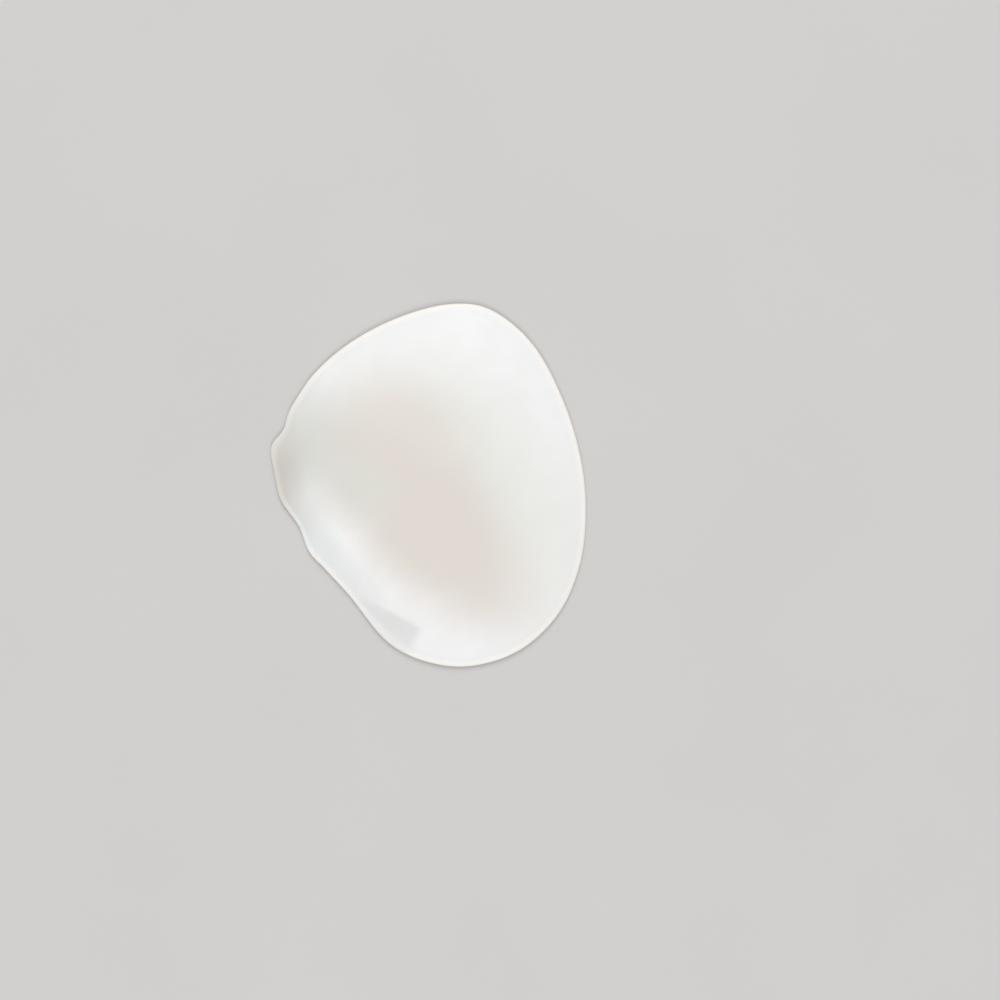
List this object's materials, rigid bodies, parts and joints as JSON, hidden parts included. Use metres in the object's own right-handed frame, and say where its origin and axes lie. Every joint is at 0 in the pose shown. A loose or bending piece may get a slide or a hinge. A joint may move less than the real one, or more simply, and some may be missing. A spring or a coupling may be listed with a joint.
{
  "type": "ball of foot pad",
  "caption": "Soft white gel pad for the ball of the foot, with a flat clinging skin side, a thin rounded rim, a raised crest behind the toes and a shallow dish",
  "frame": {"origin": "middle of the pad's box on the flat skin side, which lies on the surface", "axes": "+Z out of the contoured side, +Y towards the big toe side, +X towards the heel"},
  "size_m": [0.0816, 0.094, 0.0056],
  "materials": {
    "gel": "satin, faintly clouded white gel, a little warmer in the dish"
  },
  "bodies": {
    "root": {"gel_pad": "gel"}
  },
  "joints": []
}
